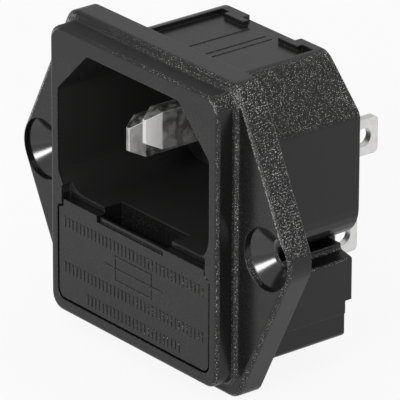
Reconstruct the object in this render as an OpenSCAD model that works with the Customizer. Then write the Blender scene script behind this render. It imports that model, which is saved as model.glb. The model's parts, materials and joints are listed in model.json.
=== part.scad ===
// Panel-mounted power entry module: a three-pin appliance inlet with a pull-out fuse drawer below it.
// X runs across the panel, +Z is up and -Y faces the user. The origin is midway between the two panel
// screws, on the rear face of the flange, which seats on the panel.

/* [Panel flange] */
// Distance between the two panel screws
screw_spacing = 36; // [35:0.5:42]
// Width of the flange's face above the bezel
flange_margin = 0.9; // [0.6:0.1:3]
// Thickness of the flange
flange_t = 2.9; // [2.4:0.1:4]
// Slant of the long sides from upright, in degrees
flange_slant = 26.7; // [24:0.1:31]
// Radius of the flange's tip round each screw
tip_r = 3.6; // [3.5:0.1:5]
// Radius of the four corners at top and bottom
flange_corner_r = 1.9; // [1.2:0.1:3]
// Rounding of the front edge
flange_edge_r = 0.5; // [0.3:0.1:1.1]
// Diameter of the screw holes
screw_hole_d = 3.4; // [2.6:0.1:3.6]
// Diameter of the countersink at its rim
screw_head_d = 6.6; // [5.6:0.1:7]
// Depth of the straight part above the countersink's cone
screw_head_recess = 0.8; // [0.1:0.1:1]

/* [Bezel] */
// Width of the bezel's face beside the drawer
bezel_side = 1.1; // [0.8:0.1:1.4]
// Width of the bezel's face above the well
bezel_above = 1.9; // [1.5:0.1:2.5]
// Width of the bezel's face below the drawer
bezel_below = 1.35; // [1.1:0.05:2]
// Height of the bezel's face above the flange
bezel_h = 2.5; // [1.8:0.1:3.5]
// Corner radius of the bezel
bezel_corner_r = 1.7; // [1.2:0.1:2.4]
// Rounding of the bezel's front edge
bezel_edge_r = 0.4; // [0.2:0.1:0.8]
// Fillet between the bezel and the flange
bezel_root_r = 0.6; // [0.3:0.1:0.9]

/* [Connector well] */
// Width of the well
well_w = 24.5; // [24:0.1:24.8]
// Height of the well
well_h = 16.2; // [16:0.1:16.4]
// Height of the well's floor above the screw line
well_floor = -2.1; // [-2.3:0.1:-1.9]
// Width of the two upper corner flats
well_flat_x = 4.9; // [4.5:0.1:5.6]
// Height of the two upper corner flats
well_flat_z = 4.9; // [4.5:0.1:5.6]
// Radius of the two lower corners
well_low_r = 3; // [2:0.1:3.6]
// Depth of the well from the bezel's face
well_depth = 16.4; // [15.8:0.1:16.8]
// Thickness of the well's back wall
well_back_t = 1; // [0.8:0.1:1.4]

/* [Pins] */
// Distance between the two outer pins
pin_spacing = 14; // [13.8:0.1:14.2]
// Height of the middle pin above the outer two
pin_rise = 4; // [3.8:0.1:4.2]
// Thickness of each pin
pin_t = 2; // [1.8:0.1:2.2]
// Height of each pin's section
pin_h = 4; // [3.8:0.1:4.2]
// Depth of the outer pins' tips behind the bezel's face
pin_tip_depth = 4.9; // [3.5:0.1:5.5]
// How far the middle pin stands in front of the outer two
earth_lead = 3.4; // [2:0.1:3.6]
// Length of the taper at a pin's tip
pin_taper = 1.6; // [1.2:0.1:2.6]
// Thickness of a pin at its very tip
pin_tip_t = 0.45; // [0.35:0.05:1]
// Height of a pin at its very tip
pin_tip_h = 2.5; // [2.2:0.1:3.2]
// Height of the shoulder that locks a pin behind the back wall
pin_shoulder_h = 5.2; // [4.8:0.1:5.6]
// Thickness of that shoulder
pin_shoulder_t = 0.4; // [0.3:0.1:0.5]

/* [Rear terminals] */
// Thickness of a terminal tab
tab_t = 0.8; // [0.6:0.1:1]
// Height of a terminal tab
tab_h = 4; // [3:0.1:4.2]
// Distance from the seating face to the tabs' ends
tab_reach = 20.5; // [18:0.1:24]
// How much shorter the earth tab is
earth_tab_short = 1.5; // [0:0.1:2]
// Diameter of the hole in a tab
tab_hole_d = 2; // [1.2:0.1:2.2]
// Distance from a tab's end to the centre of its hole
tab_hole_in = 1.9; // [1.7:0.1:2.6]
// Corner radius at a tab's end
tab_corner_r = 0.5; // [0.2:0.1:0.8]
// Distance of the fused tab from the middle
fused_tab_x = 4; // [3:0.1:4.2]

/* [Rear housing] */
// Thickness of the wall over the connector well
well_top_wall = 1.05; // [0.9:0.05:1.3]
// Thickness of the walls beside the connector well
well_side_wall = 1.15; // [0.9:0.05:1.4]
// How far the top's side edges lie outside the well's
bevel_shift = 0.95; // [0.6:0.05:1.2]
// Height of the two bevels beside that flat
bevel_h = 5.2; // [5:0.1:5.6]
// Thickness of the wall under the connector well
well_wall = 1.8; // [1.6:0.1:2]
// Radius of the housing's corners under the well
body_low_r = 3.6; // [3:0.1:4]
// Height of the waist between the well and the fuse housing
waist_h = 1.2; // [0.8:0.1:1.4]
// Depth of the waist on each side
waist_in = 1.8; // [1.2:0.1:2]
// Thickness of the rim round the rear cover
rim_t = 1; // [0.8:0.1:1.1]
// Thickness of the rear cover's plug
cover_t = 1; // [0.9:0.1:1.2]
// Clearance round the rear cover
cover_gap = 0.1; // [0.05:0.05:0.2]
// Depth of the recess along the top
top_recess = 0.5; // [0.3:0.05:0.55]
// Width of the ridges beside that recess
top_ridge = 1; // [0.8:0.1:1.6]
// Half width of the recess where it runs out at the rear
top_gap_half = 4.1; // [3:0.1:6]
// Width of the two blocks left standing in the recess
top_block_w = 3; // [2:0.1:3.6]
// Thickness of those blocks
top_block_t = 0.7; // [0.5:0.1:1]
// Radius of the housing's two upper edges
body_top_r = 2.2; // [1:0.1:2.2]

/* [Fuse housing] */
// Depth of the step in its rear wall
fuse_step = 0.8; // [0.6:0.1:0.9]
// Thickness of the fuse housing's side and bottom walls
fuse_wall = 1; // [0.8:0.1:1.1]
// Thickness of the roof over the fuse chamber
fuse_roof = 1.3; // [1:0.1:1.5]
// Thickness of the fuse chamber's rear wall
fuse_back_t = 1.05; // [0.9:0.05:1.2]

/* [Fuse drawer] */
// Height of the well's floor above the drawer's front
drawer_drop = 0.65; // [0.4:0.05:0.9]
// How far the drawer's front reaches below its tray
drawer_lip = 0.7; // [0.4:0.05:0.8]
// Thickness of the wall behind the drawer's front
drawer_wall_t = 1.05; // [0.8:0.05:1.4]
// Depth of the drawer's front behind the bezel's face
drawer_sink = 0.05; // [0:0.05:0.3]
// Gap all round the drawer's front
drawer_gap = 0.25; // [0.15:0.05:0.35]
// Depth of the drawer front's back behind the bezel's face
drawer_plate_t = 1; // [0.9:0.1:1.2]
// Radius of the drawer front's lower corners
drawer_corner_r = 0.9; // [0.5:0.1:1.2]
// Step in the front's width below its top edge
drawer_step = 0.75; // [0.5:0.05:0.9]
// Height of the narrow part at the front's top
drawer_neck_h = 0.9; // [0.6:0.1:1.2]
// Width of the notch in the front's top edge
notch_w = 10.8; // [8:0.1:12]
// Depth of that notch
notch_h = 0.7; // [0.4:0.1:0.9]
// How far the notch lies to the right of the middle
notch_shift = -0.5; // [-0.8:0.1:0.8]
// Thickness of the tray's walls
tray_wall = 1.1; // [0.9:0.1:1.3]
// Thickness of the tray's floor
tray_floor_t = 0.75; // [0.6:0.05:0.8]
// Thickness of the pads at the fuses' ends
tray_pad = 1; // [0.8:0.1:1.2]
// Head room above the fuses in the tray
tray_head = 0.4; // [0.3:0.05:0.6]
// Sliding clearance round the tray
tray_gap = 0.2; // [0.15:0.05:0.3]

/* [Fuses and clips] */
// Diameter of a fuse's end caps
fuse_d = 5.2; // [5:0.05:5.3]
// Length of a fuse
fuse_l = 20; // [19:0.1:20.2]
// Length of a fuse's end cap
fuse_cap_l = 5.5; // [4.8:0.1:6]
// Wall of an end cap
fuse_cap_t = 0.25; // [0.2:0.05:0.35]
// Wall of the glass tube
fuse_glass_t = 0.6; // [0.4:0.05:0.8]
// Diameter of the fuse wire
fuse_wire_d = 0.3; // [0.2:0.05:0.6]
// Space between the two fuses
fuse_between = 1.7; // [1.5:0.1:2]
// Thickness of a clip's spring metal
clip_t = 0.4; // [0.3:0.05:0.45]
// Width of a clip
clip_w = 4; // [3:0.1:4.4]
// Height of the rivets above the fuses' middle
rivet_rise = 1.65; // [1.6:0.05:1.7]
// Diameter of the rivets' shanks
rivet_d = 1.4; // [1:0.1:1.6]
// Diameter of the rivets' heads
rivet_head_d = 1.9; // [1.7:0.05:2]
// Thickness of the link strap
strap_t = 0.5; // [0.4:0.05:0.6]

/* [Hidden] */
$fn = 64;

arc_steps = 7;
edge_steps = 4;
over = 1;
lap = 0.2;
fit_gap = 0.05;
tray_end_gap = 0.1;

bezel_y = -(flange_t + bezel_h);
well_top = well_floor + well_h;
well_back_y = bezel_y + well_depth;
rear_floor_y = well_back_y + well_back_t;

pin_mid_z = well_floor + well_h / 2;
outer_pin_z = pin_mid_z - pin_rise / 2;
earth_pin_z = pin_mid_z + pin_rise / 2;
outer_tip_y = bezel_y + pin_tip_depth;
earth_tip_y = outer_tip_y - earth_lead;

// The fuses set the tray's size, and the tray sets the chamber's
fuse_r = fuse_d / 2;
clip_r = fuse_r + fit_gap;
clip_neck = 0.6;
rivet_hole_d = rivet_d + 2 * fit_gap;
clip_x = (fuse_l - fuse_cap_l) / 2;
tray_x = fuse_l / 2 + tray_end_gap + tray_pad + tray_wall;
chamber_x = tray_x + tray_gap;
body_floor = well_floor - well_wall;
waist_z = body_floor - waist_h;
chamber_top = waist_z - fuse_roof;
tray_top = chamber_top - tray_gap;
fuse_z = tray_top - tray_head - fuse_r;
tray_floor = fuse_z - fuse_r - fit_gap - tray_floor_t;
chamber_floor = tray_floor - tray_gap;
fuse_body_bottom = fuse_wall - chamber_floor;

plate_back_y = bezel_y + drawer_plate_t;
sill_y = plate_back_y + 0.1;
sill_floor = well_floor - 1.3;
front_wall_y = plate_back_y + drawer_wall_t;
spare_y = front_wall_y + 0.15 + fuse_r;
live_y = spare_y + fuse_d + fuse_between;
rib_y = (live_y + spare_y) / 2;
tray_back_y = live_y + fuse_r + 0.3;
clip_back_y = live_y + clip_r + clip_t + clip_neck;
chamber_back_y = clip_back_y + clip_t;
fuse_low_rear = chamber_back_y + fuse_back_t;
fuse_body_rear = fuse_low_rear + fuse_step;
rear_y = max(rear_floor_y + cover_t, fuse_body_rear + 0.8);

drawer_x = chamber_x - drawer_gap;
drawer_top = well_floor - drawer_drop;
drawer_bottom = tray_floor - drawer_lip;
cutout_half = notch_w / 2 + 0.1;
cutout_depth = front_wall_y - sill_y + 1.35;
pocket_rise = 0.9;

body_x = well_w / 2 + well_side_wall;
fuse_body_x = chamber_x + fuse_wall;
body_top = well_top + well_top_wall;
body_flat_x = well_w / 2 - well_flat_x + bevel_shift;
waist_x = min(body_x, fuse_body_x) - waist_in;
fuse_shoulder = 0.35;
relief_h = 1.8;
relief_depth = 0.12;

bezel_x = max(drawer_x + drawer_gap, well_w / 2) + bezel_side;
bezel_top = well_top + bezel_above;
bezel_bottom = drawer_gap - drawer_bottom + bezel_below;
flange_h = 2 * (max(bezel_top, bezel_bottom) + flange_margin);
screw_x = screw_spacing / 2;
tip_x = screw_x + tip_r / cos(flange_slant);
flange_top_x = tip_x - tan(flange_slant) * flange_h / 2;

rivet_z = fuse_z + rivet_rise;
strap_low_y = fuse_body_rear - strap_t;
terminal_y = fuse_body_rear - tab_t;
strap_w = clip_w;
strap_top_z = outer_pin_z + pin_h / 2;
strap_low_z = rivet_z - tab_h / 2;
cover_wing_x = clip_x + clip_w / 2 + 0.5;
cover_wing_z = strap_low_z;
fuse_step_z = strap_low_z - 0.1;

// The fused pin ends in a tail that is staked through the strap
tail_t = 1.2;
tail_h = 2.4;
line_x = -pin_spacing / 2;

// Fine lines in the top's recess
line_places = [-2.2, 0.4, 1.4];
line_w = 0.3;
line_depth = 0.06;
top_block_in = 1.3;
top_block_shift = -0.3;

// Unit vectors, edge normals and the signed turn from one to the next
function unit(v) = v / norm(v);
function edge_normal(p, q) = unit([q[1] - p[1], p[0] - q[0]]);
function turn_of(a, b) = atan2(a[0] * b[1] - a[1] * b[0], a * b);
function flat(p) = [p[0], p[1]];

// Points of one rounded corner at v, between its neighbours p and q, moved in by inset
function corner_arc(p, v, q, r, inset) =
    let (n1 = edge_normal(p, v), n2 = edge_normal(v, q), turn = turn_of(n1, n2), side = sign(turn))
    let (centre = v - side * r * (n1 + n2) / (1 + n1 * n2), reach = side * r - inset)
    let (start = atan2(n1[1], n1[0]))
    [for (i = [0:arc_steps]) centre + reach * [cos(start + turn * i / arc_steps),
                                               sin(start + turn * i / arc_steps)]];

// Outline through a counter-clockwise list of [x, z, radius] corners
function outline(corners, inset = 0) =
    let (n = len(corners))
    [for (k = [0:n - 1]) each corner_arc(flat(corners[(k + n - 1) % n]), flat(corners[k]),
                                         flat(corners[(k + 1) % n]), corners[k][2], inset)];

// The same corners on the other side of the middle, so that an outline is given by its right half
function both_sides(half) =
    concat(half, [for (k = [len(half) - 1:-1:0]) [-half[k][0], half[k][1], half[k][2]]]);

flange_corners = [[tip_x, 0, tip_r], [flange_top_x, flange_h / 2, flange_corner_r],
    [-flange_top_x, flange_h / 2, flange_corner_r], [-tip_x, 0, tip_r],
    [-flange_top_x, -flange_h / 2, flange_corner_r], [flange_top_x, -flange_h / 2, flange_corner_r]];
bezel_corners = both_sides([[bezel_x, -bezel_bottom, bezel_corner_r],
    [bezel_x, bezel_top, bezel_corner_r]]);
well_corners = both_sides([[well_w / 2, well_floor, well_low_r],
    [well_w / 2, well_top - well_flat_z, 0.8], [well_w / 2 - well_flat_x, well_top, 0.6]]);
body_corners = both_sides([[body_x, body_floor, body_low_r], [body_x, body_top - bevel_h, 1.4],
    [body_flat_x, body_top, body_top_r]]);
fuse_body_corners = both_sides([[fuse_body_x, -fuse_body_bottom, 1.1],
    [fuse_body_x, waist_z - fuse_shoulder, 0.3],
    [waist_x, waist_z, 0.4], [waist_x, waist_z + 0.6, 0.1]]);
function pocket_corners(top) = both_sides([
    [drawer_x + drawer_gap, drawer_bottom - drawer_gap, drawer_corner_r + drawer_gap],
    [drawer_x + drawer_gap, drawer_top - drawer_neck_h + drawer_gap, 0.6],
    [drawer_x + drawer_gap - drawer_step, drawer_top - drawer_neck_h + drawer_gap, 0.1],
    [drawer_x + drawer_gap - drawer_step, top, 0.3]]);

// Extrudes an upright outline from y0 to y1
module slab(y0, y1) {
    translate([0, y1, 0]) rotate([90, 0, 0]) linear_extrude(y1 - y0) children();
}

// Box given by its ranges on the three axes
module box(x, y, z) {
    translate([x[0], y[0], z[0]]) cube([x[1] - x[0], y[1] - y[0], z[1] - z[0]]);
}

// The same thing on both sides of the middle
module pair() {
    children();
    mirror([1, 0, 0]) children();
}

// Solid through one outline at several [y, inset] stations, from front to back
module loft(corners, stations) {
    n = len(outline(corners));
    last = len(stations) - 1;
    points = [for (s = stations) for (p = outline(corners, s[1])) [p[0], s[0], p[1]]];
    sides = [for (k = [0:last - 1]) for (i = [0:n - 1])
        [k * n + i, k * n + (i + 1) % n, (k + 1) * n + (i + 1) % n, (k + 1) * n + i]];
    front = [for (i = [n - 1:-1:0]) i];
    back = [for (i = [0:n - 1]) last * n + i];
    polyhedron(points, concat(sides, [front, back]), convexity = 4);
}

module flange_plate() {
    curve = [for (i = [0:edge_steps]) let (a = 90 - 90 * i / edge_steps)
        [-flange_t + flange_edge_r * (1 - sin(a)), flange_edge_r * (1 - cos(a))]];
    loft(flange_corners, curve);
    slab(-flange_t + flange_edge_r, 0) polygon(outline(flange_corners));
}

module bezel() {
    front = [for (i = [0:edge_steps]) let (a = 90 - 90 * i / edge_steps)
        [bezel_y + bezel_edge_r * (1 - sin(a)), bezel_edge_r * (1 - cos(a))]];
    root = [for (i = [0:edge_steps]) let (a = 90 * i / edge_steps)
        [-flange_t - bezel_root_r * (1 - sin(a)), -bezel_root_r * (1 - cos(a))]];
    loft(bezel_corners, concat(front, root, [[-flange_t + over, -bezel_root_r]]));
}

module screw_holes() {
    cone_depth = (screw_head_d - screw_hole_d) / 2;
    pair() translate([screw_x, 0, 0]) rotate([90, 0, 0]) {
        translate([0, 0, -over]) cylinder(h = flange_t + 2 * over, d = screw_hole_d);
        translate([0, 0, flange_t - screw_head_recess - cone_depth])
            cylinder(h = cone_depth, d1 = screw_hole_d, d2 = screw_head_d);
        translate([0, 0, flange_t - screw_head_recess])
            cylinder(h = screw_head_recess + over, d = screw_head_d);
    }
}

// Room for the drawer's front, for the tray behind it and for the bar that a screwdriver catches
module drawer_room() {
    slab(bezel_y - over, sill_y) polygon(outline(pocket_corners(well_floor + pocket_rise)));
    slab(sill_y - over, sill_y + over) polygon(outline(pocket_corners(sill_floor)));
    box([-chamber_x, chamber_x], [sill_y, chamber_back_y], [chamber_floor, chamber_top]);
    box([notch_shift - cutout_half, notch_shift + cutout_half], [sill_y - over, sill_y + cutout_depth],
        [chamber_top - over, well_floor + over]);
}

// Long recess on top with fine lines in it. It runs out at the rear, past the two blocks that stay standing
module top_recess_cut() {
    recess_x = body_flat_x - top_ridge;
    recess_z = body_top - top_recess;
    seat_y = rear_y - rim_t;
    difference() {
        union() {
            box([-recess_x, recess_x], [0, seat_y], [recess_z, body_top + over]);
            box([-top_gap_half, top_gap_half], [0, rear_y + over], [recess_z, body_top + over]);
            for (x = line_places)
                box([x, x + line_w], [0, seat_y - top_block_t], [recess_z - line_depth, recess_z + over]);
        }
        translate([top_block_shift, 0, 0]) pair()
            box([top_gap_half - top_block_in, top_gap_half - top_block_in + top_block_w],
                [seat_y - top_block_t, seat_y], [recess_z - over, body_top + 2 * over]);
    }
}

// Shape of the strap seen from the side, between its inner line moved by from and by to
module strap_side(from, to) {
    bend_top = body_floor;
    bend_low = waist_z;
    points = [[from, strap_top_z], [to, strap_top_z], [to, bend_top],
        [to + strap_low_y - rear_floor_y, bend_low], [to + strap_low_y - rear_floor_y, strap_low_z],
        [from + strap_low_y - rear_floor_y, strap_low_z],
        [from + strap_low_y - rear_floor_y, bend_low], [from, bend_top]];
    polygon([for (p = points) [p[0] + rear_floor_y, p[1]]]);
}

// Extrudes a side view from x0 to x1
module side_slab(x0, x1) {
    translate([x0, 0, 0]) rotate([90, 0, 90]) linear_extrude(x1 - x0) children();
}

module pin_slots() {
    for (p = [[-pin_spacing / 2, outer_pin_z], [pin_spacing / 2, outer_pin_z], [0, earth_pin_z]])
        box([p[0] - pin_t / 2, p[0] + pin_t / 2], [well_back_y - over, rear_floor_y + over],
            [p[1] - pin_h / 2, p[1] + pin_h / 2]);
}

// Seats in the housing's rear for the cover, the strap, the fused terminal and the rivets
module rear_seats() {
    slab(rear_floor_y, rear_y + over) polygon(outline(body_corners, rim_t));
    box([-cover_wing_x - cover_gap, cover_wing_x + cover_gap], [fuse_body_rear, rear_y + over],
        [body_floor - over, well_floor]);
    side_slab(-clip_x - strap_w / 2 - fit_gap, -clip_x + strap_w / 2 + fit_gap) strap_side(0, rear_y);
    box([fused_tab_x - tab_t / 2 - fit_gap, clip_x + clip_w / 2 + fit_gap], [terminal_y, rear_y],
        [rivet_z - tab_h / 2 - fit_gap, rivet_z + tab_h / 2 + fit_gap]);
    pair() translate([clip_x, rear_y, rivet_z]) rotate([90, 0, 0])
        cylinder(h = rear_y - chamber_back_y + over, d = rivet_hole_d);
}

module housing() {
    color("#3a3b3c") difference() {
        union() {
            flange_plate();
            bezel();
            slab(-over, rear_y) polygon(outline(body_corners));
            slab(-over, fuse_body_rear) polygon(outline(fuse_body_corners));
        }
        slab(bezel_y - over, well_back_y) polygon(outline(well_corners));
        drawer_room();
        screw_holes();
        pin_slots();
        rear_seats();
        top_recess_cut();
        box([-2 * fuse_body_x, 2 * fuse_body_x], [fuse_low_rear, rear_y + over],
            [-2 * fuse_body_bottom, fuse_step_z]);
        pair() box([fuse_body_x - relief_depth, 2 * fuse_body_x], [0, rear_y],
            [-2 * fuse_body_bottom, chamber_floor + relief_h]);
    }
}

module rear_cover() {
    color("#343536") difference() {
        union() {
            slab(rear_floor_y, rear_y) polygon(outline(body_corners, rim_t + cover_gap));
            box([-cover_wing_x, cover_wing_x], [fuse_body_rear, rear_y], [cover_wing_z, well_floor]);
        }
        for (p = [[pin_spacing / 2, outer_pin_z], [0, earth_pin_z]]) {
            box([p[0] - tab_t / 2 - fit_gap, p[0] + tab_t / 2 + fit_gap],
                [rear_floor_y - over, rear_y + over],
                [p[1] - tab_h / 2 - fit_gap, p[1] + tab_h / 2 + fit_gap]);
            box([p[0] - pin_t / 2 - fit_gap, p[0] + pin_t / 2 + fit_gap],
                [rear_floor_y - over, rear_floor_y + pin_shoulder_t],
                [p[1] - pin_shoulder_h / 2 - fit_gap, p[1] + pin_shoulder_h / 2 + fit_gap]);
        }
        side_slab(-clip_x - strap_w / 2 - fit_gap, -clip_x + strap_w / 2 + fit_gap)
            strap_side(-over, strap_t);
        box([fused_tab_x - tab_t / 2 - fit_gap, fused_tab_x + tab_t / 2 + fit_gap],
            [fuse_body_rear - over, rear_y + over], [cover_wing_z - over, rivet_z + tab_h / 2 + fit_gap]);
        pair() translate([clip_x, fuse_body_rear + 0.45, rivet_z]) rotate([90, 0, 0])
            cylinder(h = 2 * over, d = rivet_head_d + lap);
    }
}

// Flat-sided pin along +Y with a taper on all four sides of its tip
module pin_blade(x, z, tip_y, back_y) {
    section = [[-1, -1], [1, -1], [1, 1], [-1, 1]];
    points = concat(
        [for (s = section) [x + s[0] * pin_tip_t / 2, tip_y, z + s[1] * pin_tip_h / 2]],
        [for (s = section) [x + s[0] * pin_t / 2, tip_y + pin_taper, z + s[1] * pin_h / 2]],
        [for (s = section) [x + s[0] * pin_t / 2, back_y, z + s[1] * pin_h / 2]]);
    sides = [for (k = [0, 1]) for (i = [0:3])
        [4 * k + i, 4 * k + (i + 1) % 4, 4 * k + 4 + (i + 1) % 4, 4 * k + 4 + i]];
    polyhedron(points, concat(sides, [[3, 2, 1, 0], [8, 9, 10, 11]]));
}

// Upright terminal tab at x and z, from y0 to its rounded end at y1, with its hole
module tab(x, z, y0, y1) {
    difference() {
        side_slab(x - tab_t / 2, x + tab_t / 2)
            polygon(outline([[y0, z - tab_h / 2, 0.01], [y1, z - tab_h / 2, tab_corner_r],
                [y1, z + tab_h / 2, tab_corner_r], [y0, z + tab_h / 2, 0.01]]));
        translate([x - tab_t, y1 - tab_hole_in, z]) rotate([0, 90, 0])
            cylinder(h = 2 * tab_t, d = tab_hole_d);
    }
}

// Pin folded from one strip: blade, locking shoulder and rear tab
module pin_with_tab(x, z, tip_y, tab_end) {
    pin_blade(x, z, tip_y, rear_floor_y);
    box([x - pin_t / 2, x + pin_t / 2], [rear_floor_y, rear_floor_y + pin_shoulder_t],
        [z - pin_shoulder_h / 2, z + pin_shoulder_h / 2]);
    tab(x, z, rear_floor_y + pin_shoulder_t - fit_gap, tab_end);
}

module neutral_pin() {
    color("#d8d6cf") pin_with_tab(pin_spacing / 2, outer_pin_z, outer_tip_y, tab_reach);
}

module earth_pin() {
    color("#d8d6cf") pin_with_tab(0, earth_pin_z, earth_tip_y, tab_reach - earth_tab_short);
}

module line_pin() {
    color("#d8d6cf") {
        pin_blade(line_x, outer_pin_z, outer_tip_y, rear_floor_y);
        box([line_x - tail_t / 2, line_x + tail_t / 2], [rear_floor_y - over, rear_floor_y + strap_t],
            [outer_pin_z - tail_h / 2, outer_pin_z + tail_h / 2]);
    }
}

module line_strap() {
    color("#cfc9b8") difference() {
        side_slab(-clip_x - strap_w / 2, -clip_x + strap_w / 2) strap_side(0, strap_t);
        box([line_x - tail_t / 2, line_x + tail_t / 2], [0, rear_y],
            [outer_pin_z - tail_h / 2, outer_pin_z + tail_h / 2]);
        translate([-clip_x, rear_y, rivet_z]) rotate([90, 0, 0])
            cylinder(h = rear_y, d = rivet_hole_d);
    }
}

// One strip bent through a right angle: a foot on the fuse housing's rear wall and a tab
module line_terminal() {
    foot = [[fused_tab_x - tab_t / 2, terminal_y, tab_t], [clip_x + clip_w / 2, terminal_y, 0.1],
        [clip_x + clip_w / 2, fuse_body_rear, 0.1], [fused_tab_x + tab_t / 2, fuse_body_rear, 0.05],
        [fused_tab_x + tab_t / 2, rear_y, 0.01], [fused_tab_x - tab_t / 2, rear_y, 0.01]];
    color("#d8d6cf") {
        difference() {
            translate([0, 0, rivet_z - tab_h / 2]) linear_extrude(tab_h) polygon(outline(foot));
            translate([clip_x, rear_y, rivet_z]) rotate([90, 0, 0])
                cylinder(h = rear_y, d = rivet_hole_d);
        }
        tab(fused_tab_x, rivet_z, rear_y - fit_gap, tab_reach);
    }
}

// Spring clip: a cup round the rear half of the fuse's cap, two arms with lips, and a back plate
module clip(x) {
    arm_l = 2.2;
    lip_l = 0.5;
    lip_rise = 0.12;
    plate_half = 2.75;
    neck_half = rivet_rise - rivet_head_d / 2 - fit_gap;
    color("#d9c48a") difference() {
        union() {
            side_slab(x - clip_w / 2, x + clip_w / 2) translate([live_y, fuse_z]) {
                difference() {
                    circle(r = clip_r + clip_t);
                    circle(r = clip_r);
                    translate([-2 * clip_r, -2 * clip_r]) square([2 * clip_r, 4 * clip_r]);
                }
                for (side = [-1, 1]) scale([1, side])
                    polygon([[0, clip_r], [-arm_l, clip_r], [-arm_l - lip_l, clip_r + lip_rise],
                        [-arm_l - lip_l, clip_r + clip_t + lip_rise], [-arm_l, clip_r + clip_t],
                        [0, clip_r + clip_t]]);
            }
            box([x - clip_w / 2, x + clip_w / 2], [live_y + clip_r + clip_t / 2, clip_back_y + clip_t / 2],
                [fuse_z - neck_half, fuse_z + neck_half]);
            box([x - clip_w / 2, x + clip_w / 2], [clip_back_y, chamber_back_y],
                [fuse_z - plate_half, fuse_z + plate_half]);
        }
        translate([x, chamber_back_y + over, rivet_z]) rotate([90, 0, 0])
            cylinder(h = 2 * over, d = rivet_hole_d);
    }
}

module line_clip() {
    clip(-clip_x);
}

module feed_clip() {
    clip(clip_x);
}

// Two rivets, each through a clip, the chamber's rear wall and the strap or the terminal's foot
module clip_rivets() {
    inner_head = 0.45;
    outer_head = 0.35;
    color("#c9c4b4") pair() translate([clip_x, 0, rivet_z]) rotate([-90, 0, 0]) {
        translate([0, 0, clip_back_y - inner_head]) cylinder(h = inner_head, d = rivet_head_d);
        translate([0, 0, clip_back_y - inner_head / 2])
            cylinder(h = fuse_body_rear - clip_back_y + inner_head, d = rivet_d);
        translate([0, 0, fuse_body_rear]) cylinder(h = outer_head, d = rivet_head_d);
    }
}

module fuse_drawer() {
    inner_x = tray_x - tray_wall;
    stop_x = fuse_l / 2 + tray_end_gap;
    tongue_x = clip_x - clip_w / 2 - 0.5;
    rail_x = clip_x + clip_w / 2 + 0.4;
    window_y = live_y - fuse_r - 0.45;
    floor_top = tray_floor + tray_floor_t;
    floor_in = floor_top - lap;
    stop_half = 1.5;
    rib_half = 0.3;
    cradle_t = 1;
    cradle_x = fuse_l / 2 - fuse_cap_l - 1.1 - cradle_t;
    bar_x = notch_w / 2 - 0.2;
    bar_front_y = bezel_y + drawer_sink + 0.3;
    bar_t = 0.4;
    color("#39393a") {
        difference() {
            slab(bezel_y + drawer_sink, plate_back_y)
                polygon(outline(pocket_corners(drawer_top + drawer_gap), drawer_gap));
            box([notch_shift - notch_w / 2, notch_shift + notch_w / 2],
                [bezel_y - over, plate_back_y + over], [drawer_top - notch_h, drawer_top + over]);
        }
        box([-tray_x, tray_x], [plate_back_y - lap, front_wall_y], [tray_floor, tray_top]);
        difference() {
            box([-tray_x, tray_x], [front_wall_y - lap, tray_back_y], [tray_floor, tray_top]);
            box([-inner_x, inner_x], [front_wall_y, tray_back_y + over], [floor_top, tray_top + over]);
            pair() box([tongue_x, rail_x], [window_y, tray_back_y + over],
                [tray_floor - over, tray_top + over]);
        }
        box([-inner_x - lap, inner_x + lap], [rib_y - rib_half, rib_y + rib_half],
            [floor_in, fuse_z + 0.4]);
        for (y = [live_y, spare_y])
            pair() box([stop_x, inner_x + lap], [y - stop_half, y + stop_half],
                [floor_in, fuse_z + stop_half]);
        difference() {
            pair() box([cradle_x, cradle_x + cradle_t], [front_wall_y - lap, tray_back_y],
                [floor_in, fuse_z - 0.6]);
            for (y = [live_y, spare_y])
                across(y, -fuse_l / 2) cylinder(h = fuse_l, r = fuse_r - fuse_cap_t + fit_gap);
        }
        box([-tongue_x, tongue_x], [tray_back_y - lap, tray_back_y + 0.4], [tray_floor, fuse_z - 0.8]);
        translate([notch_shift, 0, 0]) box([-bar_x, bar_x], [bar_front_y, bar_front_y + bar_t],
            [drawer_top - notch_h - lap, drawer_top - 0.2]);
    }
}

// Fuses lie across the drawer, along X
module across(y, x0) {
    translate([x0, y, fuse_z]) rotate([0, 90, 0]) children();
}

module fuse_tube(y) {
    glass_l = fuse_l - 2 * fuse_cap_t - 2 * fit_gap;
    glass_r = fuse_r - fuse_cap_t - fit_gap;
    color("#dfe6e6", 0.5) across(y, -glass_l / 2) difference() {
        cylinder(h = glass_l, r = glass_r);
        translate([0, 0, -over]) cylinder(h = glass_l + 2 * over, r = glass_r - fuse_glass_t);
    }
}

module fuse_cap(y, side) {
    color("#cfcbbd") scale([side, 1, 1]) across(y, fuse_l / 2 - fuse_cap_l) difference() {
        cylinder(h = fuse_cap_l, r = fuse_r);
        translate([0, 0, -over]) cylinder(h = fuse_cap_l - fuse_cap_t + over, r = fuse_r - fuse_cap_t);
    }
}

module fuse_wire(y) {
    wire_l = fuse_l - 2 * fuse_cap_t;
    color("#b9b4a6") across(y, -wire_l / 2) cylinder(h = wire_l, d = fuse_wire_d, $fn = 16);
}

housing();
rear_cover();
line_pin();
neutral_pin();
earth_pin();
line_strap();
line_terminal();
line_clip();
feed_clip();
clip_rivets();
fuse_drawer();
fuse_tube(live_y);  // live_fuse_tube
fuse_cap(live_y, -1);  // live_fuse_cap_left
fuse_cap(live_y, 1);  // live_fuse_cap_right
fuse_wire(live_y);  // live_fuse_wire
fuse_tube(spare_y);  // spare_fuse_tube
fuse_cap(spare_y, -1);  // spare_fuse_cap_left
fuse_cap(spare_y, 1);  // spare_fuse_cap_right
fuse_wire(spare_y);  // spare_fuse_wire
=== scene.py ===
"""Finishes, drawer relief, studio and camera for a panel-mounted power entry module."""
import json

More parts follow.
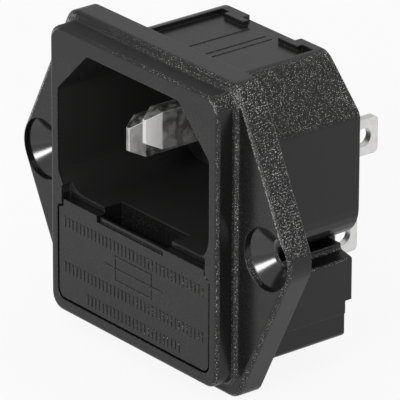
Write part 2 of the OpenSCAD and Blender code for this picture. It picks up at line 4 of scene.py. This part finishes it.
import bmesh
import bpy
from bpy.props import FloatProperty, FloatVectorProperty, PointerProperty
from bpy.types import Operator, Panel, PropertyGroup
from mathutils import Matrix, Vector


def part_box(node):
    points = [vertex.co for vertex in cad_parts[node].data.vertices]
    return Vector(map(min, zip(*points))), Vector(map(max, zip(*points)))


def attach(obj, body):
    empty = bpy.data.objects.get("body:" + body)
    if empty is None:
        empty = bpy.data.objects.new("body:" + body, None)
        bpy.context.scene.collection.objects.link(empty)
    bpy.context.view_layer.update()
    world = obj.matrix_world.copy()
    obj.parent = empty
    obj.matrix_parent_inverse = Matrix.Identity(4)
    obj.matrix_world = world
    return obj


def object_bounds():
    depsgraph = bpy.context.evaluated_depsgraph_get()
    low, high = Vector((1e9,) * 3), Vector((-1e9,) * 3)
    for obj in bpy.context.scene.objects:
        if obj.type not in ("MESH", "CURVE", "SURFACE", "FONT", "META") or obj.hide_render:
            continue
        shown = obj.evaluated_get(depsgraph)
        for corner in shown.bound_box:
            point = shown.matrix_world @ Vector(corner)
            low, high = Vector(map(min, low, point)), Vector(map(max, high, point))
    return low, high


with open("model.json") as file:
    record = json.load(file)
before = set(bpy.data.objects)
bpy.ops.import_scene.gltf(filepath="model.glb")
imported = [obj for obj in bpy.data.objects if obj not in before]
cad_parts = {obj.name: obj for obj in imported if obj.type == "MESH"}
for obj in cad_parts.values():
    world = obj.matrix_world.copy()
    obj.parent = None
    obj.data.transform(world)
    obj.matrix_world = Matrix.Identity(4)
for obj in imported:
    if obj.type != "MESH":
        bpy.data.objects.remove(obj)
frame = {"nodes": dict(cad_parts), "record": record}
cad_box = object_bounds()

bl_info = {
    "name": "Power entry module finishes",
    "version": (1, 0, 0),
    "blender": (4, 5, 0),
    "location": "View3D > Sidebar > Inlet",
    "description": "Finishes, drawer relief and studio for a fused appliance inlet",
    "category": "Object",
}

MM = 0.001

# Places on the module that its finishes follow, in front view with x to the right
mounts = {mount["name"]: mount for mount in frame["record"]["mounts"]}
screw_x = mounts["panel_screws"]["dims"]["spacing_x_mm"] / 2 * MM
screw_r = 3.2 * MM
bezel_front = cad_box[0].y
flange_front = -2.9 * MM
well_z = mounts["appliance_connector"]["pos_m"][2]
well_half_w = 12.3 * MM
well_half_h = 8.15 * MM
well_back = 11.1 * MM

# The top's painted glints in the crease fade in from shoulder to crown, and its painted glints fade in
# from calm on the left to lively on the right
shoulder_z = 12 * MM
crown_z = 14 * MM
calm_x = -11 * MM
lively_x = 8 * MM

# Width of the soft border of such a place
soft = 0.1 * MM


def colour(name, note, value):
    """A colour that the panel shows, with linear parts."""
    return FloatVectorProperty(name=name, description=note, default=value, size=3, min=0, max=1,
                               subtype="COLOR")


def length(name, note, value):
    """A length that the panel shows."""
    return FloatProperty(name=name, description=note, default=value, min=0, unit="LENGTH",
                         precision=5)


def share(name, note, value):
    """A share from nothing to all."""
    return FloatProperty(name=name, description=note, default=value, min=0, max=1,
                         subtype="FACTOR")


def times(name, note, value):
    """A number that multiplies a tone."""
    return FloatProperty(name=name, description=note, default=value, min=0)


class PlasticFinish(PropertyGroup):
    """Black moulded plastic."""
    tone: colour("Plastic", "Colour of the black plastic", (0.0105, 0.0103, 0.0101))
    roughness: share("Roughness", "Roughness of its plain faces", 0.25)
    polish: share("Polished roughness", "Roughness inside the screw holes", 0.19)
    gloss: share("Gloss", "Strength of its mirrored light", 0.45)
    grain: length("Grain", "Size of the grain on its plain faces", 0.11 * MM)
    grain_depth: length("Grain depth", "Depth of that grain", 0.005 * MM)
    spark: length("Spark grain", "Size of the spark-eroded grain on rims and bevels", 0.09 * MM)
    spark_depth: length("Spark depth", "Depth of the spark-eroded grain", 0.03 * MM)
    # Painted glints: bright specks of painted highlight on the spark-eroded grain, rims, fronts and
    # moulded edges
    painted_glint: colour("Glints", "Colour of the bright specks on that grain", (0.85, 0.85, 0.83))
    painted_glint_gap: length("Glint gap", "Distance between two of those specks", 0.13 * MM)
    rim_painted_glint: share("Rims", "Strength of the specks on rims and in the bezel's top crease", 0.7)
    front_painted_glint: share("Fronts", "Strength of the specks on faces that look forward", 0.06)
    edge_painted_glint: share("Edges", "Strength of the specks along moulded edges", 0.35)
    # Painted highlights along bevel edges and on the line where slanted sides turn forward
    bevel_painted_highlight: share("Bevel edges", "Strength of the light along the edges of bevels", 0.25)
    line_painted_highlight: share("Lit line", "Strength of the line where slanted sides turn forward", 0.4)
    patch: length("Patch", "Size of the uneven patches in tone and gloss", 3.5 * MM)
    patch_tone: share("Patch tone", "How much lighter or darker than the plastic they get", 0.12)
    patch_gloss: share("Patch gloss", "How far their roughness ranges", 0.06)
    grain_gloss: share("Grain gloss", "How far the grain's roughness ranges", 0.12)
    # The well's walls painted lighter: painted light in the well's shade
    well_painted_light: times("Well tone", "How many times lighter the well's walls are", 2.2)
    well_dull: share("Dull well", "Extra roughness of the well's walls", 0.2)
    brow_dull: share("Dull top", "Extra roughness of the bezel's top face", 0.4)
    smoothed: share("Smoothed", "Share of the grain that is gone inside the screw holes", 0.95)
    edge: length("Edge", "Radius that the light finds on the moulded edges", 0.14 * MM)


class MetalFinish(PropertyGroup):
    """Plated and bare metals of the contacts."""
    plate: colour("Plating", "Colour of the plated pins and tabs", (0.98, 0.965, 0.93))
    brass: colour("Brass", "Colour of the link strap", (0.80, 0.62, 0.34))
    bronze: colour("Bronze", "Colour of the fuse clips", (0.80, 0.60, 0.42))
    rivet: colour("Rivets", "Colour of the rivets", (0.70, 0.66, 0.58))
    cap: colour("Fuse caps", "Colour of the fuses' end caps", (0.82, 0.80, 0.74))
    wire: colour("Fuse wire", "Colour of the fuses' wires", (0.62, 0.60, 0.56))
    roughness: share("Roughness", "Roughness of the plated metal", 0.34)
    edge: length("Edge", "Radius of the stamped edges", 0.16 * MM)
    # Painted highlight: the edges painted lighter and less metallic
    edge_painted_highlight: times("Edge tone", "How many times lighter those edges are", 1.3)
    edge_plain: share("Plain edges", "Share of their light that is not metallic", 0.4)
    edge_gloss: share("Edge gloss", "How much less rough those edges are", 0.08)
    patch: length("Patch", "Size of the patches in the sheen", 1.6 * MM)
    dark_tone: times("Dark tone", "Tone of the dark patches, as a multiple of the metal's", 0.84)
    light_tone: times("Light tone", "Tone of the light patches, as a multiple of the metal's", 1.08)
    patch_gloss: share("Patch gloss", "How far their roughness ranges", 0.16)
    line: length("Drawn line", "Width of the fine drawn lines", 0.09 * MM)
    line_gloss: share("Line gloss", "How far the roughness of those lines ranges", 0.12)
    wear: length("Wear", "Size of the duller worn patches", 0.5 * MM)
    wear_tone: times("Wear tone", "Tone of the worn patches, as a multiple of the metal's", 0.88)
    wear_share: share("Wear share", "How far the worn patches take on that tone", 0.5)
    wear_plain: share("Plain wear", "Share of their light that is not metallic", 0.24)


class GlassFinish(PropertyGroup):
    """Clear glass of the fuses."""
    tint: colour("Tint", "Colour of the glass", (0.90, 0.95, 0.94))
    roughness: share("Roughness", "Roughness of the glass", 0.04)
    wave: length("Wave", "Width of the faint waves in the glass", 1.8 * MM)
    wave_depth: length("Wave depth", "Depth of those waves", 0.004 * MM)
    wave_tone: share("Wave tone", "How much lighter or darker than the tint they get", 0.05)
    wave_gloss: share("Wave gloss", "Roughness that the waves add at most", 0.03)


class DrawerRelief(PropertyGroup):
    """Raised fuse sign and rows of grip ribs on the drawer's front."""
    rise: length("Rise", "Height of the relief above the front", 0.07 * MM)
    line: length("Line", "Width of the sign's lines", 0.24 * MM)
    sign_width: length("Sign width", "Width of the fuse sign's frame", 6.1 * MM)
    sign_height: length("Sign height", "Height of that frame", 2.6 * MM)
    sign_lead: length("Lead", "Length of the sign's middle line", 9.5 * MM)
    sign_drop: length("Sign place", "Depth of the sign below the drawer front's top", 4.8 * MM)
    rib: length("Grip rib", "Width of a grip rib", 0.26 * MM)
    rib_height: length("Rib height", "Height of a row of grip ribs", 1.15 * MM)
    rib_pitch: length("Rib pitch", "Distance between two grip ribs", 0.62 * MM)
    side: length("Side margin", "Plain border left beside the longer rows", 1.05 * MM)
    first_row: length("First row", "Depth of the upper row of ribs below the front's top", 2.4 * MM)
    second_row: length("Second row", "Depth of the middle row below that top", 7.4 * MM)
    third_row: length("Third row", "Depth of the short lower row below that top", 9.85 * MM)
    third_share: share("Third row's width", "Width of the lower row as a share of the others", 0.66)
    sunk: length("Foot", "Depth that the relief reaches into the front", 0.05 * MM)
    softness: length("Softness", "Width of the relief's bevelled edges", 0.05 * MM)


class Studio(PropertyGroup):
    """Floor, light and camera."""
    floor: colour("Floor", "Colour of the floor", (0.86, 0.86, 0.86))
    floor_reach: length("Floor reach", "Distance from the floor's middle to its sides", 3.0)
    floor_patch: length("Floor patch", "Size of the faint patches on the floor", 40 * MM)
    floor_tone: share("Floor tone", "How much lighter or darker than the floor they get", 0.01)
    background: share("White", "Share of plain white that the camera sees on the floor", 0.9)
    mirrored: share("Mirrored white", "Share of plain white that gloss and metal see there", 0.4)
    sky: share("Sky", "Strength of the light from all round", 0.56)
    key_place: FloatVectorProperty(name="Key light", description="Where the key light hangs", size=3,
                                   default=(0.22, -0.51, 0.29), subtype="TRANSLATION")
    key_size: length("Key light size", "Width of the key light's disc", 0.17)
    key_power: FloatProperty(name="Key light power", description="Power of the key light", default=1.3,
                             min=0, unit="POWER")
    focal: FloatProperty(name="Lens", description="Focal length in millimetres", default=504.187,
                         min=1)


class Value:
    """A shader socket that Python's arithmetic works on, one Math node a step."""

    def __init__(self, tree, socket):
        self.tree = tree
        self.socket = socket

    def step(self, operation, *values):
        node = self.tree.nodes.new("ShaderNodeMath")
        node.operation = operation
        for socket, value in zip(node.inputs, values):
            if isinstance(value, Value):
                self.tree.links.new(value.socket, socket)
            else:
                socket.default_value = value
        return Value(self.tree, node.outputs[0])

    def __add__(self, other):
        return self.step("ADD", self, other)

    def __radd__(self, other):
        return self.step("ADD", other, self)

    def __sub__(self, other):
        return self.step("SUBTRACT", self, other)

    def __rsub__(self, other):
        return self.step("SUBTRACT", other, self)

    def __mul__(self, other):
        return self.step("MULTIPLY", self, other)

    def __rmul__(self, other):
        return self.step("MULTIPLY", other, self)

    def __abs__(self):
        return self.step("ABSOLUTE", self)

    def most(self, other):
        return self.step("MAXIMUM", self, other)


class Finish:
    """A material, and the one method that adds its nodes."""

    def __init__(self, name):
        self.material = bpy.data.materials.new(name)
        self.material.use_nodes = True
        self.tree = self.material.node_tree
        self.tree.nodes.clear()
        place = self.node("ShaderNodeTexCoord")
        self.place = place.outputs["Object"]
        self.facing = place.outputs["Normal"]

    def node(self, kind, settings=None, inputs=None):
        """Adds a node, sets it, then gives each named or numbered input its value or link."""
        node = self.tree.nodes.new(kind)
        for name, value in (settings or {}).items():
            setattr(node, name, value)
        for name, value in (inputs or {}).items():
            socket = node.inputs[name]
            if isinstance(value, Value):
                self.tree.links.new(value.socket, socket)
            elif isinstance(value, bpy.types.NodeSocket):
                self.tree.links.new(value, socket)
            else:
                socket.default_value = value
        return node

    def value(self, socket):
        return Value(self.tree, socket)

    def parts(self, vector):
        split = self.node("ShaderNodeSeparateXYZ", inputs={"Vector": vector})
        return [self.value(split.outputs[axis]) for axis in "XYZ"]

    def noise(self, size, detail=2.0, stretch=(1, 1, 1), blotch=0.6):
        """Soft noise with blotches of about size, in metres, drawn out by stretch.

        blotch is how wide they are at a scale of 1.
        """
        scaled = self.node("ShaderNodeVectorMath", {"operation": "MULTIPLY"},
                           {0: self.place, 1: tuple(1 / part for part in stretch)})
        noise = self.node("ShaderNodeTexNoise", inputs={
            "Vector": scaled.outputs[0], "Scale": blotch / size, "Detail": detail})
        return self.value(noise.outputs["Fac"])

    def specks(self, spacing, small, large):
        """Round specks, about spacing apart and few of them strong; small and large are shares of it."""
        cells = self.node("ShaderNodeTexVoronoi", inputs={
            "Vector": self.place, "Scale": 1 / spacing, "Randomness": 1.0})
        near = self.below(self.value(cells.outputs["Distance"]), small, large)
        strength = self.parts(cells.outputs["Color"])[0]
        return near * strength * strength

    def between(self, value, low, high):
        """0 below low, 1 above high and a soft step between them."""
        step = self.node("ShaderNodeMapRange", {"interpolation_type": "SMOOTHSTEP"},
                         {"Value": value, "From Min": low, "From Max": high})
        return self.value(step.outputs["Result"])

    def below(self, value, low, high):
        """1 below low, 0 above high and a soft step between them."""
        return 1 - self.between(value, low, high)

    def around(self, value, middle, reach, fade):
        """1 within reach of middle, and 0 from fade beyond that."""
        return self.below(abs(value - middle), reach, reach + fade)

    def blend(self, mask, first, second):
        """Colour that goes from first to second as mask goes from 0 to 1."""
        mix = self.node("ShaderNodeMix", {"data_type": "RGBA"}, {0: mask, 6: first, 7: second})
        return mix.outputs[2]

    def round_edges(self, radius, faint=0.004, full=0.08):
        """Keeps a normal that rounds sharp edges, and gives how near each point is to one.

        An edge starts to show where the normal turns by faint, and shows fully at full. Both are
        1 minus the cosine of the turn.
        """
        self.rounded = self.node("ShaderNodeBevel", {"samples": 6}, {"Radius": radius}).outputs[0]
        flat = self.node("ShaderNodeNewGeometry").outputs["Normal"]
        agree = self.node("ShaderNodeVectorMath", {"operation": "DOT_PRODUCT"},
                          {0: self.rounded, 1: flat})
        return self.between(1 - self.value(agree.outputs["Value"]), faint, full)

    def relief(self, height, depth):
        """Normal of the given height over the rounded edges."""
        bump = self.node("ShaderNodeBump", inputs={
            "Height": height, "Distance": depth, "Normal": self.rounded})
        return bump.outputs["Normal"]

    def surface(self, **inputs):
        """Ends the material with a Principled shader that has these inputs."""
        shader = self.node("ShaderNodeBsdfPrincipled", inputs={
            name.replace("_", " "): value for name, value in inputs.items()})
        self.node("ShaderNodeOutputMaterial", inputs={"Surface": shader.outputs["BSDF"]})
        return self.material


def shaded(tone, amount):
    """The colour made lighter or darker by amount, as a node takes it."""
    return tuple(min(1.0, part * amount) for part in tone) + (1.0,)


def dress(material, *names):
    """Gives CAD nodes their material."""
    for name in names:
        slots = frame["nodes"][name].data.materials
        slots.clear()
        slots.append(material)


def in_screw_holes(finish, x, y, z):
    """1 inside the two screw holes and their countersinks, in front of the flange's rear face."""
    across = abs(x) - screw_x
    squared_mm = (across * across + z * z) * (1 / MM ** 2)
    inner, outer = screw_r / MM, (screw_r + 1.5 * soft) / MM
    return finish.below(squared_mm, inner ** 2, outer ** 2) * finish.below(y, -2 * soft, -soft)


def in_well(finish, x, y, z):
    """1 in the space of the connector's well, from just behind the bezel's front to its back."""
    inside = finish.around(x, 0, well_half_w, soft) * finish.around(z, well_z, well_half_h, soft)
    deep = finish.between(y, bezel_front + 0.5 * soft, bezel_front + 3 * soft)
    return inside * deep * finish.below(y, well_back, well_back + soft)


def moulded_plastic(name, lightness=1.0, holes=False):
    """Black plastic: fine grain, with spark-eroded rims and bevels that carry painted glints and painted
    highlight lines.

    With holes it also has the housing's polished screw holes and a well painted paler, as painted light
    in its shade.
    """
    look = bpy.context.scene.inlet_plastic
    finish = Finish(name)
    x, y, z = finish.parts(finish.place)
    face_x, face_y, face_z = finish.parts(finish.facing)
    cloud = finish.noise(look.patch, 3)
    patches = finish.between(cloud, 0.4, 0.65)
    grain = finish.noise(look.grain, 3)
    spark = finish.noise(look.spark, 2)
    edge = finish.round_edges(look.edge)

    # Which way a face looks: the parts of its normal are 1 along their axis and 0 across it
    outward = finish.between(x * face_x + z * face_z, 0.0, 5 * soft)
    along_y = abs(face_y)
    before_panel = finish.below(y, 0.0, soft)
    slanted = finish.between(abs(face_x), 0.2, 0.4) * finish.between(face_z, 0.2, 0.4) * outward
    rim = finish.between(along_y, 0.12, 0.3) * finish.below(along_y, 0.88, 0.97) \
        * outward * before_panel
    front = finish.between(0 - face_y, 0.9, 0.97) * before_panel
    brow = finish.between(face_z, 0.9, 0.97) * outward \
        * finish.below(y, flange_front - 3 * soft, flange_front - soft)

    # The crease between the bezel's top and the flange, the top's calm left without painted glints,
    # screw holes and the well, which is painted lighter as painted light in its shade
    crown = finish.between(z, shoulder_z, crown_z)
    crease = finish.around(y, flange_front, soft, 2 * soft) * crown
    calm = crown * finish.below(x, calm_x, lively_x)
    polished = in_screw_holes(finish, x, y, z) * float(holes)
    well = in_well(finish, x, y, z) * (1 - outward) * float(holes)

    # Where painted glints go: spark-eroded slants, rims, the crease and fronts; none in the screw holes,
    # the well or the top's calm left
    eroded = slanted.most(rim * look.rim_painted_glint).most(crease * patches * look.rim_painted_glint) \
        .most(front * look.front_painted_glint)
    painted_glint_zone = eroded * (1 - polished) * (1 - well) * (1 - calm)
    height = grain * (look.grain_depth / look.spark_depth) + spark * slanted
    height = height * (1 - polished * look.smoothed)
    roughness = look.roughness + (cloud - 0.5) * look.patch_gloss + (grain - 0.5) * look.grain_gloss
    roughness = roughness + well * look.well_dull + brow * look.brow_dull
    roughness = roughness * (1 - polished) + look.polish * polished

    # Painted glints: bright specks of painted highlight on rough places and moulded edges, and a fine
    # painted highlight line where slanted sides turn forward
    # Painted glints along moulded edges
    painted_edge_glints = edge * (1 - well) * (1 - calm) * look.edge_painted_glint
    patchy = patches * 0.6 + 0.75
    painted_glints = finish.specks(look.painted_glint_gap, 0.15, 0.5) * painted_glint_zone.most(painted_edge_glints) * patchy
    turning = finish.between(along_y, 0.8, 0.9) * finish.below(along_y, 0.985, 0.995)
    leaning = finish.between(face_z, 0.03, 0.08) * finish.between(abs(face_x), 0.03, 0.08)
    # Painted highlight line where slanted sides turn forward
    painted_highlight_line = turning * leaning * outward * before_panel * finish.between(spark, 0.42, 0.6)
    painted_glints = painted_glints.most(edge * slanted * look.bevel_painted_highlight).most(painted_highlight_line * look.line_painted_highlight)

    tone = finish.blend(cloud, shaded(look.tone, (1 - look.patch_tone) * lightness),
                        shaded(look.tone, (1 + look.patch_tone) * lightness))
    # The well painted lighter: painted light in its shade
    tone = finish.blend(well, tone, shaded(look.tone, look.well_painted_light))
    # Painted glints and painted highlight lines, painted into the tone
    tone = finish.blend(painted_glints, tone, shaded(look.painted_glint, lightness))
    return finish.surface(Base_Color=tone, Roughness=roughness, Specular_IOR_Level=look.gloss,
                          Coat_Weight=polished, Coat_Roughness=look.polish,
                          Normal=finish.relief(height, look.spark_depth))


def worked_metal(name, tone, roughness, grain_along=(1, 6, 1), depth=0.008 * MM):
    """Rolled or plated metal with fine drawn lines, worn patches and a painted highlight along its
    edges.
    """
    look = bpy.context.scene.inlet_metal
    finish = Finish(name)
    cloud = finish.noise(look.patch, 3)
    lines = finish.noise(look.line, 2, grain_along)
    edge = finish.round_edges(look.edge)
    surface = roughness + (cloud - 0.5) * look.patch_gloss + (lines - 0.5) * look.line_gloss \
        - edge * look.edge_gloss
    worn = finish.between(finish.noise(look.wear, 4), 0.4, 0.62)
    sheen = finish.blend(cloud, shaded(tone, look.dark_tone), shaded(tone, look.light_tone))
    sheen = finish.blend(worn * look.wear_share, sheen, shaded(tone, look.wear_tone))
    # Painted highlight: edges painted lighter than the metal, and less metallic below
    sheen = finish.blend(edge, sheen, shaded(tone, look.edge_painted_highlight))
    metallic = 1 - worn * look.wear_plain - edge * look.edge_plain
    return finish.surface(Base_Color=sheen, Metallic=metallic, Roughness=surface,
                          Normal=finish.relief(lines, depth))


def fuse_glass(name):
    """Clear drawn glass, with a faint unevenness along the tube."""
    look = bpy.context.scene.inlet_glass
    finish = Finish(name)
    wave = finish.noise(look.wave, 2, (5, 1, 1))
    tone = finish.blend(wave, shaded(look.tint, 1 - look.wave_tone),
                        shaded(look.tint, 1 + look.wave_tone))
    bump = finish.node("ShaderNodeBump", inputs={"Height": wave, "Distance": look.wave_depth})
    return finish.surface(Base_Color=tone, Roughness=look.roughness + wave * look.wave_gloss,
                          Transmission_Weight=1.0, IOR=1.5, Normal=bump.outputs["Normal"])


class InletPlastics(Operator):
    """Finish the housing, the rear cover and the drawer in black plastic"""
    bl_idname = "inlet.plastics"
    bl_label = "Plastics"

    def execute(self, context):
        dress(moulded_plastic("moulded_black_housing", holes=True), "housing")
        dress(moulded_plastic("moulded_black_cover", 0.94), "rear_cover")
        dress(moulded_plastic("moulded_black_drawer", 1.04), "fuse_drawer")
        return {"FINISHED"}


class InletContacts(Operator):
    """Finish the pins, terminals, strap, clips and rivets in their metals"""
    bl_idname = "inlet.contacts"
    bl_label = "Contacts"

    def execute(self, context):
        look = context.scene.inlet_metal
        dress(worked_metal("plated_pin", look.plate, look.roughness),
              "line_pin", "neutral_pin", "earth_pin", "line_terminal")
        dress(worked_metal("rolled_brass", look.brass, 0.3, (1, 1, 6)), "line_strap")
        dress(worked_metal("spring_bronze", look.bronze, 0.3, (6, 1, 1)), "line_clip", "feed_clip")
        dress(worked_metal("rivet_metal", look.rivet, 0.34, (1, 1, 1)), "clip_rivets")
        return {"FINISHED"}


class InletFuses(Operator):
    """Finish the live and the spare fuse: glass, end caps and wire"""
    bl_idname = "inlet.fuses"
    bl_label = "Fuses"

    def execute(self, context):
        look = context.scene.inlet_metal
        fuses = ("live_fuse", "spare_fuse")
        dress(fuse_glass("fuse_glass"), *[fuse + "_tube" for fuse in fuses])
        dress(worked_metal("fuse_cap", look.cap, 0.22, (5, 1, 1), 0.003 * MM),
              *[fuse + end for fuse in fuses for end in ("_cap_left", "_cap_right")])
        dress(worked_metal("fuse_wire", look.wire, 0.35, (8, 1, 1), 0.006 * MM),
              *[fuse + "_wire" for fuse in fuses])
        return {"FINISHED"}


class InletDrawerRelief(Operator):
    """Raise a plain fuse sign and rows of grip ribs on the drawer's front"""
    bl_idname = "inlet.drawer_relief"
    bl_label = "Drawer relief"

    def execute(self, context):
        look = context.scene.inlet_relief
        low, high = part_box("fuse_drawer")
        front, top = low.y, high.z
        middle = top - look.sign_drop
        shape = bmesh.new()
        half_w, half_h = look.sign_width / 2, look.sign_height / 2
        raise_bar(shape, look, front, (-half_w, half_w), middle + half_h, look.line)
        raise_bar(shape, look, front, (-half_w, half_w), middle - half_h, look.line)
        raise_bar(shape, look, front, (-look.sign_lead / 2, look.sign_lead / 2), middle, look.line)
        for side in (-1, 1):
            x = side * (half_w - look.line / 2)
            raise_bar(shape, look, front, (x - look.line / 2, x + look.line / 2), middle,
                      look.sign_height)
        reach = high.x - look.side
        for drop, wide in ((look.first_row, reach), (look.second_row, reach),
                           (look.third_row, reach * look.third_share)):
            ribs = round(2 * wide / look.rib_pitch)
            for rib in range(ribs + 1):
                x = (rib - ribs / 2) * look.rib_pitch
                raise_bar(shape, look, front, (x - look.rib / 2, x + look.rib / 2), top - drop,
                          look.rib_height)
        piece = make_piece("drawer_relief", shape)
        piece.data.materials.append(moulded_plastic("moulded_black_relief", 1.04))
        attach(piece, "drawer")
        return {"FINISHED"}


def raise_bar(shape, look, front, reach, z, height):
    """A bar with softened edges that stands on the drawer's front."""
    made = bmesh.ops.create_cube(shape, size=1.0)["verts"]
    size = Vector((reach[1] - reach[0], look.rise + look.sunk, height))
    centre = Vector(((reach[0] + reach[1]) / 2, front + (look.sunk - look.rise) / 2, z))
    bmesh.ops.scale(shape, verts=made, vec=size)
    bmesh.ops.translate(shape, verts=made, vec=centre)
    edges = {edge for vert in made for edge in vert.link_edges
             if all(end.co.y < front for end in edge.verts)}
    bmesh.ops.bevel(shape, geom=list(edges), offset=look.softness, affect="EDGES", segments=2,
                    profile=0.5, material=-1)


def make_piece(name, shape):
    """A mesh object at the origin, with its place in its mesh."""
    bmesh.ops.recalc_face_normals(shape, faces=shape.faces)
    mesh = bpy.data.meshes.new(name)
    shape.to_mesh(mesh)
    shape.free()
    piece = bpy.data.objects.new(name, mesh)
    bpy.context.scene.collection.objects.link(piece)
    return piece


class InletStudio(Operator):
    """Lay the pale floor, hang the key light and set the camera"""
    bl_idname = "inlet.studio"
    bl_label = "Studio"

    def execute(self, context):
        look = context.scene.inlet_studio
        self.lay_floor(look)
        self.light_world(context.scene, look)
        self.hang_key_light(look)
        self.place_camera(context.scene, look)
        return {"FINISHED"}

    def lay_floor(self, look):
        shape = bmesh.new()
        bmesh.ops.create_grid(shape, x_segments=1, y_segments=1, size=look.floor_reach)
        bmesh.ops.translate(shape, verts=shape.verts, vec=(0, 0, cad_box[0].z))
        floor = make_piece("floor", shape)
        finish = Finish("pale_floor")
        path = finish.node("ShaderNodeLightPath")
        seen = finish.value(path.outputs["Is Camera Ray"])
        mirrored = finish.value(path.outputs["Is Glossy Ray"])
        cloud = finish.noise(look.floor_patch, 2)
        tone = finish.blend(cloud, shaded(look.floor, 1 - look.floor_tone),
                            shaded(look.floor, 1 + look.floor_tone))
        plain = finish.node("ShaderNodeBsdfDiffuse", inputs={"Color": tone})
        white = finish.node("ShaderNodeEmission", inputs={"Color": (1, 1, 1, 1), "Strength": 1.0})
        mix = finish.node("ShaderNodeMixShader", inputs={
            0: seen * look.background + mirrored * look.mirrored, 1: plain.outputs[0],
            2: white.outputs[0]})
        finish.node("ShaderNodeOutputMaterial", inputs={"Surface": mix.outputs[0]})
        floor.data.materials.append(finish.material)

    def light_world(self, scene, look):
        world = bpy.data.worlds.new("studio")
        scene.world = world
        world.use_nodes = True
        tree = world.node_tree
        tree.nodes.clear()
        path = tree.nodes.new("ShaderNodeLightPath")
        seen = Value(tree, path.outputs["Is Camera Ray"])
        strength = look.sky + seen * (1 - look.sky)
        sky = tree.nodes.new("ShaderNodeBackground")
        sky.inputs["Color"].default_value = (1, 1, 1, 1)
        tree.links.new(strength.socket, sky.inputs["Strength"])
        output = tree.nodes.new("ShaderNodeOutputWorld")
        tree.links.new(sky.outputs[0], output.inputs["Surface"])

    def hang_key_light(self, look):
        lamp = bpy.data.lights.new("key_light", "AREA")
        lamp.shape = "DISK"
        lamp.size = look.key_size
        lamp.energy = look.key_power
        holder = bpy.data.objects.new("key_light", lamp)
        holder.location = look.key_place
        holder.rotation_euler = (-Vector(look.key_place)).to_track_quat("-Z", "Y").to_euler()
        bpy.context.scene.collection.objects.link(holder)

    def place_camera(self, scene, look):
        """Sets the camera's place and turn as they came out of the fit to the photo's edges."""
        lens = bpy.data.cameras.new("camera")
        lens.sensor_width = 36
        lens.lens = look.focal
        place = Vector((0.405749, -0.323079, 0.222327))
        across = Vector((0.6257008, 0.7800564, 0.0032554))
        upward = Vector((-0.3097223, 0.2446006, 0.9188268))
        back = across.cross(upward)
        turn = Matrix((across, upward, back)).transposed().to_4x4()
        camera = bpy.data.objects.new("camera", lens)
        camera.matrix_world = Matrix.Translation(place) @ turn
        scene.collection.objects.link(camera)
        scene.camera = camera
        scene.view_settings.view_transform = "Standard"


class InletPanel(Panel):
    """Sizes, colours and steps of the inlet's finish"""
    bl_idname = "VIEW3D_PT_inlet"
    bl_label = "Power entry module"
    bl_space_type = "VIEW_3D"
    bl_region_type = "UI"
    bl_category = "Inlet"

    def draw(self, context):
        for name, group in groups.items():
            box = self.layout.box()
            box.label(text=group.__doc__)
            settings = getattr(context.scene, name)
            for field in group.__annotations__:
                box.prop(settings, field)
        for step in steps:
            self.layout.operator(step.bl_idname)


groups = {"inlet_plastic": PlasticFinish, "inlet_metal": MetalFinish, "inlet_glass": GlassFinish,
          "inlet_relief": DrawerRelief, "inlet_studio": Studio}
steps = (InletPlastics, InletContacts, InletFuses, InletDrawerRelief, InletStudio)


def register():
    for kind in (*groups.values(), *steps, InletPanel):
        bpy.utils.register_class(kind)
    for name, group in groups.items():
        setattr(bpy.types.Scene, name, PointerProperty(type=group))


def unregister():
    for name in groups:
        delattr(bpy.types.Scene, name)
    for kind in reversed((*groups.values(), *steps, InletPanel)):
        bpy.utils.unregister_class(kind)


def main():
    register()
    bpy.ops.inlet.plastics()
    bpy.ops.inlet.contacts()
    bpy.ops.inlet.fuses()
    bpy.ops.inlet.drawer_relief()
    bpy.ops.inlet.studio()


if __name__ == "__main__":
    main()
